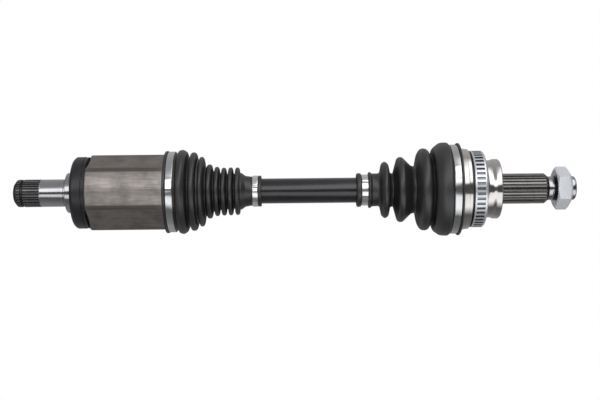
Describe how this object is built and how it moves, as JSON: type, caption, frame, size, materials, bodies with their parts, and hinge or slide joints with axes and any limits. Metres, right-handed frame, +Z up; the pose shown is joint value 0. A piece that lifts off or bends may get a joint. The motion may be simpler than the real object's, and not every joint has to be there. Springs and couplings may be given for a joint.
{
  "type": "cv axle",
  "caption": "Front drive axle shaft: a bar with a sliding tripod joint at one end, a fixed ball joint at the other, a ribbed rubber boot over each, splined stubs and a hub nut.",
  "frame": {"origin": "middle of the axle, on its axis, halfway between the two ends", "axes": "+X along the axle from the gearbox stub to the wheel hub stub, +Z up; the joints bend about Y"},
  "size_m": [0.54, 0.0898, 0.0898],
  "materials": {
    "forged_steel": "bare forged and turned steel, brownish grey",
    "bell_steel": "bare turned steel",
    "satin_black_paint": "satin black",
    "band_steel": "bright rolled strip",
    "zinc_plate": "pale bluish zinc plating",
    "bearing_steel": "ground and polished, oiled",
    "phosphated_steel": "dark phosphate",
    "spring_steel": "dark spring steel",
    "boot_rubber": "moulded, soft sheen",
    "black_plastic": "moulded, matt"
  },
  "bodies": {
    "inner_housing": {"inner_housing": "forged_steel", "stub_snap_ring": "spring_steel", "dust_ring": "black_plastic", "inner_boot_big_clamp": "band_steel"},
    "inner_boot": {"inner_boot": "boot_rubber"},
    "shaft": {"axle_bar": "satin_black_paint", "tripod_spider": "bearing_steel", "spider_snap_ring": "spring_steel", "race_snap_ring": "spring_steel", "ball_inner_race": "bearing_steel", "inner_boot_small_clamp": "band_steel", "outer_boot_small_clamp": "band_steel", "needle_ring_1": "bearing_steel", "needle_ring_2": "bearing_steel", "needle_ring_3": "bearing_steel", "roller_clip_1": "bearing_steel", "roller_clip_2": "bearing_steel", "roller_clip_3": "bearing_steel"},
    "roller_1": {"roller_1": "bearing_steel"},
    "roller_2": {"roller_2": "bearing_steel"},
    "roller_3": {"roller_3": "bearing_steel"},
    "ball_cage": {"ball_cage": "phosphated_steel", "ball_1": "bearing_steel", "ball_2": "bearing_steel", "ball_3": "bearing_steel", "ball_4": "bearing_steel", "ball_5": "bearing_steel", "ball_6": "bearing_steel"},
    "outer_housing": {"outer_housing": "bell_steel", "abs_ring": "zinc_plate", "outer_boot": "boot_rubber", "outer_boot_big_clamp": "band_steel"},
    "hub_nut": {"hub_nut": "zinc_plate"}
  },
  "joints": [
    {"name": "inner_plunge", "type": "slide", "parent": "inner_housing", "child": "inner_boot", "axis": [1, 0, 0], "range_m": [-0.012, 0.012], "deforming": ["inner_boot"]},
    {"name": "inner_tilt", "type": "hinge", "parent": "inner_boot", "child": "shaft", "pos_m": [-0.142, 0, 0], "axis": [0, 1, 0], "range_deg": [-15, 15], "deforming": ["inner_boot"]},
    {"name": "outer_tilt", "type": "hinge", "parent": "shaft", "child": "outer_housing", "pos_m": [0.162, 0, 0], "axis": [0, 1, 0], "range_deg": [-40, 40], "deforming": ["outer_boot"]},
    {"name": "cage_tilt", "type": "hinge", "parent": "shaft", "child": "ball_cage", "pos_m": [0.162, 0, 0], "axis": [0, 1, 0], "range_deg": [-21, 21]},
    {"name": "nut_turn", "type": "hinge", "parent": "outer_housing", "child": "hub_nut", "pos_m": [0.26, 0, 0], "axis": [1, 0, 0], "continuous": true},
    {"name": "roller_spin_1", "type": "hinge", "parent": "shaft", "child": "roller_1", "pos_m": [-0.142, -0.02387, 0.00251], "axis": [0, -0.9945, 0.1045], "range_deg": [-50, 50]},
    {"name": "roller_spin_2", "type": "hinge", "parent": "shaft", "child": "roller_2", "pos_m": [-0.142, 0.00976, -0.02193], "axis": [0, 0.4067, -0.9135], "range_deg": [-50, 50]},
    {"name": "roller_spin_3", "type": "hinge", "parent": "shaft", "child": "roller_3", "pos_m": [-0.142, 0.01411, 0.01942], "axis": [0, 0.5878, 0.809], "range_deg": [-50, 50]}
  ],
  "couplings": [
    {"joint": "cage_tilt", "follows": "outer_tilt", "ratio": 0.5},
    {"joint": "roller_spin_1", "follows": "inner_plunge", "rad_per_m": 70.422},
    {"joint": "roller_spin_2", "follows": "inner_plunge", "rad_per_m": 70.422},
    {"joint": "roller_spin_3", "follows": "inner_plunge", "rad_per_m": 70.422}
  ]
}
